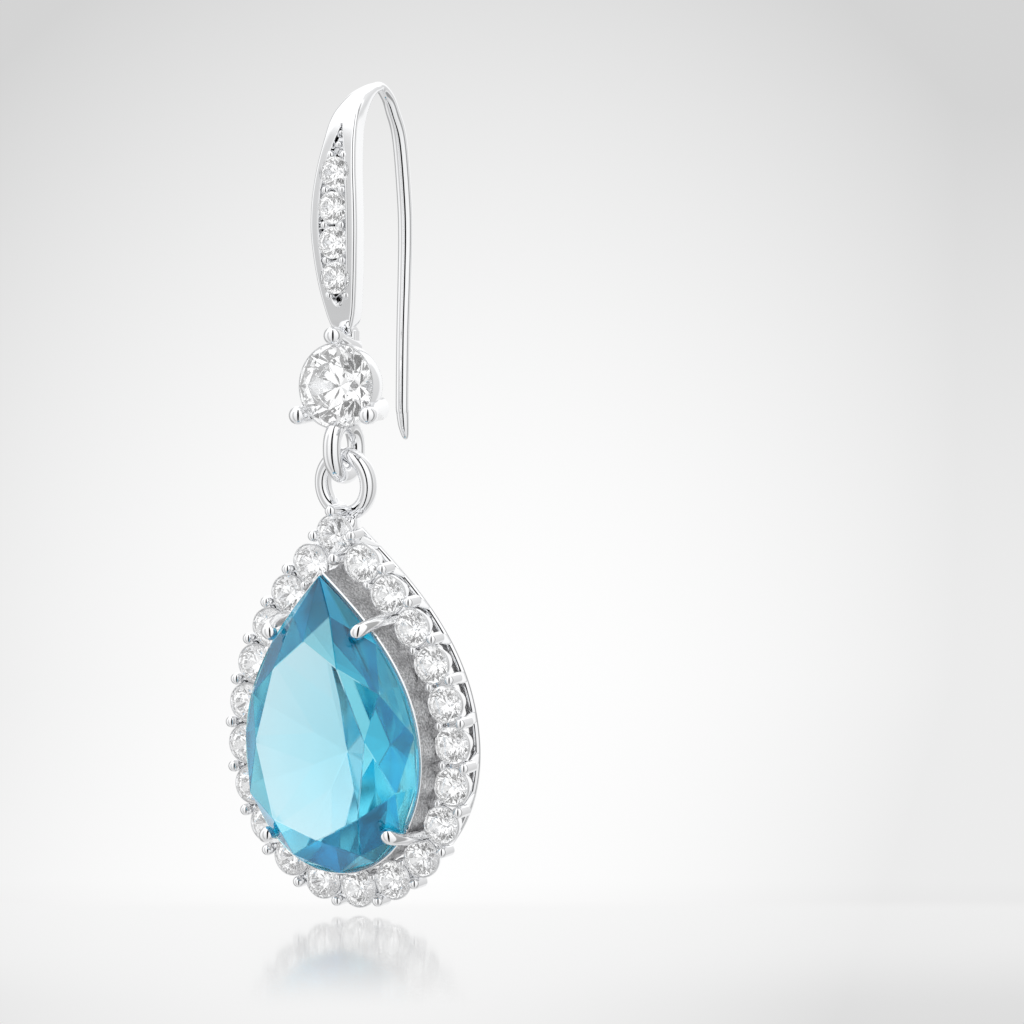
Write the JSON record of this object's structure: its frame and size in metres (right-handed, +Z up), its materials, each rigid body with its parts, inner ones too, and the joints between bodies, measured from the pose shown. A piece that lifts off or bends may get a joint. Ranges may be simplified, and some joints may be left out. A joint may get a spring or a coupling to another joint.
{
  "type": "teardrop drop earring",
  "caption": "Fish-hook drop earring: jewelled leaf plate, round stone basket, fixed loop, and a swinging pear stone pendant in a pierced halo.",
  "frame": {"origin": "underside of the ear wire at the crest of its arch, where the earring hangs in the ear", "axes": "+Z up, -Y is the jewelled front, +X to the right seen from the front"},
  "size_m": [0.014, 0.0104, 0.0414],
  "materials": {
    "polished_silver": "polished rhodium-plated silver, satin inside the pierced work",
    "clear_stone": "colourless cut stone",
    "blue_stone": "pale sky-blue cut stone"
  },
  "bodies": {
    "earwire": {"ear_hook": "polished_silver", "drop_stone": "clear_stone", "hook_stone_1": "clear_stone", "hook_stone_2": "clear_stone", "hook_stone_3": "clear_stone", "hook_stone_4": "clear_stone"},
    "pendant": {"pendant_frame": "polished_silver", "centre_stone": "blue_stone", "halo_stone_01": "clear_stone", "halo_stone_02": "clear_stone", "halo_stone_03": "clear_stone", "halo_stone_04": "clear_stone", "halo_stone_05": "clear_stone", "halo_stone_06": "clear_stone", "halo_stone_07": "clear_stone", "halo_stone_08": "clear_stone", "halo_stone_09": "clear_stone", "halo_stone_10": "clear_stone", "halo_stone_11": "clear_stone", "halo_stone_12": "clear_stone", "halo_stone_13": "clear_stone", "halo_stone_14": "clear_stone", "halo_stone_15": "clear_stone", "halo_stone_16": "clear_stone", "halo_stone_17": "clear_stone", "halo_stone_18": "clear_stone", "halo_stone_19": "clear_stone", "halo_stone_20": "clear_stone", "halo_stone_21": "clear_stone", "halo_stone_22": "clear_stone"}
  },
  "joints": [
    {"name": "pendant_swing", "type": "hinge", "parent": "earwire", "child": "pendant", "pos_m": [0, -0.0035, -0.01825], "axis": [1, 0, 0], "range_deg": [-60, 60]}
  ]
}
